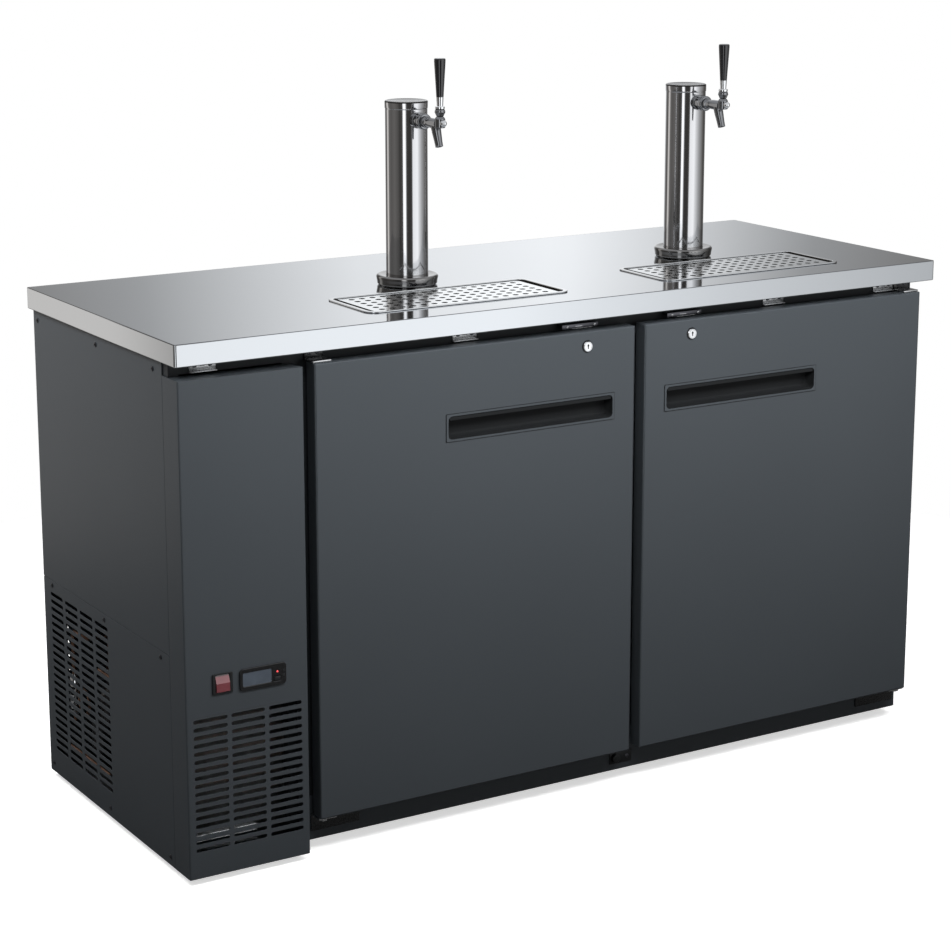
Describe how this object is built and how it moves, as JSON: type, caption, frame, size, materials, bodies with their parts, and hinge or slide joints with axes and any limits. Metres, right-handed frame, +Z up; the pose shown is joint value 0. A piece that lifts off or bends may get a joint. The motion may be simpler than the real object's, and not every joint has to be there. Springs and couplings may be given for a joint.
{
  "type": "kegerator",
  "caption": "Low black keg cooler with a stainless worktop, draught towers with taps and drip trays, solid doors and a slotted machine compartment at one end.",
  "frame": {"origin": "on the floor, under the middle of the worktop", "axes": "+X along the worktop to the right as seen from the front, +Y to the back, +Z up; the doors face -Y"},
  "size_m": [1.545, 0.61, 1.3035],
  "materials": {
    "stainless": "polished",
    "polished_steel": "polished",
    "black_coated_steel": "satin",
    "black_plastic": "satin",
    "gloss_black_plastic": "gloss",
    "white_liner": "satin",
    "gasket_rubber": "matte",
    "red_rocker_plastic": "gloss",
    "fin_aluminium": "satin",
    "galvanised_steel": "satin",
    "compressor_paint": "gloss"
  },
  "bodies": {
    "cabinet": {"worktop": "stainless", "cabinet_floor": "black_coated_steel", "cabinet_roof": "black_coated_steel", "back_wall": "black_coated_steel", "right_wall": "black_coated_steel", "divider_wall": "black_coated_steel", "centre_mullion": "black_coated_steel", "machine_frame": "black_coated_steel", "upper_side_panel": "black_coated_steel", "side_vent_panel": "black_coated_steel", "front_vent_panel": "black_coated_steel", "rear_vent_panel": "black_coated_steel", "base_pan": "galvanised_steel", "condenser_coil": "fin_aluminium", "fan_shroud": "galvanised_steel", "compressor": "compressor_paint", "evaporator_cover": "galvanised_steel", "evaporator_coil": "fin_aluminium", "controller": "gloss_black_plastic", "power_switch_housing": "black_plastic", "foot_front_left": "black_plastic", "foot_front_right": "black_plastic", "foot_rear_left": "black_plastic", "foot_rear_right": "black_plastic", "drip_tray_left": "stainless", "tower_flange_left": "polished_steel", "tower_column_left": "polished_steel", "tower_cap_left": "polished_steel", "shank_left": "polished_steel", "faucet_body_left": "polished_steel", "lower_hinge_left": "polished_steel", "upper_hinge_left": "polished_steel", "drip_tray_right": "stainless", "tower_flange_right": "polished_steel", "tower_column_right": "polished_steel", "tower_cap_right": "polished_steel", "shank_right": "polished_steel", "faucet_body_right": "polished_steel", "lower_hinge_right": "polished_steel", "upper_hinge_right": "polished_steel"},
    "left_door": {"door_panel_left": "black_coated_steel", "door_liner_left": "white_liner", "door_gasket_left": "gasket_rubber", "door_handle_left": "black_plastic"},
    "left_lock": {"door_lock_left": "polished_steel"},
    "left_tap": {"tap_lever_left": "polished_steel", "tap_handle_left": "gloss_black_plastic"},
    "left_grille": {"drip_grille_left": "stainless"},
    "right_door": {"door_panel_right": "black_coated_steel", "door_liner_right": "white_liner", "door_gasket_right": "gasket_rubber", "door_handle_right": "black_plastic"},
    "right_lock": {"door_lock_right": "polished_steel"},
    "right_tap": {"tap_lever_right": "polished_steel", "tap_handle_right": "gloss_black_plastic"},
    "right_grille": {"drip_grille_right": "stainless"},
    "rocker": {"power_switch_rocker": "red_rocker_plastic"},
    "key": {"controller_key": "black_plastic"},
    "condenser_fan_wheel": {"condenser_fan": "black_plastic"},
    "evaporator_fan_wheel": {"evaporator_fan": "black_plastic"}
  },
  "joints": [
    {"name": "left_door_hinge", "type": "hinge", "parent": "cabinet", "child": "left_door", "pos_m": [-0.5095, -0.274, 0.066], "axis": [0, 0, -1], "range_deg": [0, 110]},
    {"name": "right_door_hinge", "type": "hinge", "parent": "cabinet", "child": "right_door", "pos_m": [0.7415, -0.274, 0.066], "axis": [0, 0, 1], "range_deg": [0, 110]},
    {"name": "left_lock_turn", "type": "hinge", "parent": "left_door", "child": "left_lock", "pos_m": [0.0055, -0.29, 0.8165], "axis": [0, 1, 0], "range_deg": [0, 90]},
    {"name": "right_lock_turn", "type": "hinge", "parent": "right_door", "child": "right_lock", "pos_m": [0.2265, -0.29, 0.8165], "axis": [0, -1, 0], "range_deg": [0, 90]},
    {"name": "left_tap_lever", "type": "hinge", "parent": "cabinet", "child": "left_tap", "pos_m": [-0.189, -0.126, 1.1985], "axis": [1, 0, 0], "range_deg": [0, 35]},
    {"name": "right_tap_lever", "type": "hinge", "parent": "cabinet", "child": "right_tap", "pos_m": [0.409, -0.126, 1.1985], "axis": [1, 0, 0], "range_deg": [0, 35]},
    {"name": "power_rocker", "type": "hinge", "parent": "cabinet", "child": "rocker", "pos_m": [-0.697, -0.29, 0.338], "axis": [1, 0, 0], "range_deg": [0, 20]},
    {"name": "controller_key_press", "type": "slide", "parent": "cabinet", "child": "key", "axis": [0, 1, 0], "range_m": [0, 0.0006], "stiffness_N_per_m": 200},
    {"name": "condenser_fan_spin", "type": "hinge", "parent": "cabinet", "child": "condenser_fan_wheel", "pos_m": [-0.652, -0.15745, 0.1388], "axis": [0, 1, 0], "continuous": true},
    {"name": "evaporator_fan_spin", "type": "hinge", "parent": "cabinet", "child": "evaporator_fan_wheel", "pos_m": [-0.4562, 0.06, 0.65], "axis": [1, 0, 0], "continuous": true},
    {"name": "left_grille_lift", "type": "slide", "parent": "cabinet", "child": "left_grille", "axis": [0, 0, 1], "range_m": [0, 0.05]},
    {"name": "right_grille_lift", "type": "slide", "parent": "cabinet", "child": "right_grille", "axis": [0, 0, 1], "range_m": [0, 0.05]}
  ]
}
